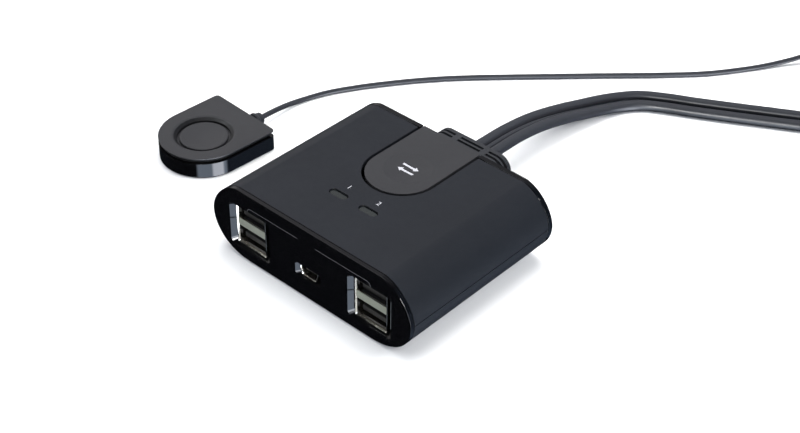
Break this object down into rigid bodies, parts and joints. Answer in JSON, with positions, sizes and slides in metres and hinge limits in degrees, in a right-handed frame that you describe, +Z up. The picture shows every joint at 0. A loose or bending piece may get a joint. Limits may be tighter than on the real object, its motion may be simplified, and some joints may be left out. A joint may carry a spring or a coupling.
{
  "type": "usb sharing switch",
  "caption": "Desktop USB peripheral-sharing switch for two computers, with a tilting select button, cable gland, captive host cables and a wired remote button.",
  "frame": {"origin": "on the surface it stands on, at the middle of the footprint of the housing, gland and remote button", "axes": "+X along the port face, from the remote button to the housing; +Y from the ports to the cable gland; +Z up"},
  "size_m": [0.2715, 0.2478, 0.0277],
  "materials": {
    "cover_plastic": "fine matt texture",
    "button_plastic": "satin",
    "bezel_plastic": "polished",
    "foot_rubber": "matt",
    "light_pipe": "translucent",
    "nickel_steel": "nickel plated",
    "gold_contact": "gold plated",
    "board_green": "solder mask",
    "black_moulding": "satin",
    "cable_jacket": "soft PVC"
  },
  "bodies": {
    "switch_and_remote": {"bottom_cover": "cover_plastic", "cable_gland": "foot_rubber", "capacitor": "nickel_steel", "crystal_can": "nickel_steel", "foot_front_left": "foot_rubber", "foot_front_right": "foot_rubber", "foot_rear_left": "foot_rubber", "foot_rear_right": "foot_rubber", "front_bezel": "bezel_plastic", "host_cable_1": "cable_jacket", "host_cable_1_end": "cable_jacket", "host_cable_2": "cable_jacket", "host_cable_2_end": "cable_jacket", "host_cable_coil": "cable_jacket", "hub_chip": "black_moulding", "inner_lead_host_1": "cable_jacket", "inner_lead_host_2": "cable_jacket", "inner_lead_remote": "cable_jacket", "light_window_1": "light_pipe", "light_window_2": "light_pipe", "main_board": "board_green", "mini_usb_insulator": "black_moulding", "mini_usb_shell": "nickel_steel", "rear_bezel": "bezel_plastic", "remote_base": "bezel_plastic", "remote_board": "board_green", "remote_cable_back": "cable_jacket", "remote_cable_coil": "cable_jacket", "remote_cable_out": "cable_jacket", "remote_pad": "foot_rubber", "remote_strain_relief": "foot_rubber", "remote_switch": "black_moulding", "remote_top": "button_plastic", "screw_front_left": "nickel_steel", "screw_front_right": "nickel_steel", "screw_rear_left": "nickel_steel", "screw_rear_right": "nickel_steel", "select_switch": "black_moulding", "status_led_1": "light_pipe", "status_led_2": "light_pipe", "top_cover": "cover_plastic", "usb_contacts_left_lower": "gold_contact", "usb_contacts_left_upper": "gold_contact", "usb_contacts_right_lower": "gold_contact", "usb_contacts_right_upper": "gold_contact", "usb_insulator_left": "black_moulding", "usb_insulator_right": "black_moulding", "usb_plug_body_1": "black_moulding", "usb_plug_body_2": "black_moulding", "usb_plug_insulator_1": "black_moulding", "usb_plug_insulator_2": "black_moulding", "usb_plug_shell_1": "nickel_steel", "usb_plug_shell_2": "nickel_steel", "usb_shell_left": "nickel_steel", "usb_shell_right": "nickel_steel"},
    "select_button_tilt": {"select_button": "button_plastic"},
    "select_stem": {"select_switch_stem": "black_moulding"},
    "remote_button_cap": {"remote_button": "button_plastic"},
    "remote_stem": {"remote_switch_stem": "black_moulding"}
  },
  "joints": [
    {"name": "select_press", "type": "hinge", "parent": "switch_and_remote", "child": "select_button_tilt", "pos_m": [0.0289, 0.02255, 0.024], "axis": [1, 0, 0], "range_deg": [0, 0.8], "stiffness_Nm_per_rad": 1},
    {"name": "select_stem_travel", "type": "slide", "parent": "switch_and_remote", "child": "select_stem", "axis": [0, 0, -1], "range_m": [0, 0.0003]},
    {"name": "remote_press", "type": "slide", "parent": "switch_and_remote", "child": "remote_button_cap", "axis": [0, 0, -1], "range_m": [0, 0.00035], "stiffness_N_per_m": 500},
    {"name": "remote_stem_travel", "type": "slide", "parent": "switch_and_remote", "child": "remote_stem", "axis": [0, 0, -1], "range_m": [0, 0.0004]}
  ],
  "couplings": [
    {"joint": "select_stem_travel", "follows": "select_press", "m_per_rad": 0.0195},
    {"joint": "remote_stem_travel", "follows": "remote_press", "ratio": 1}
  ]
}
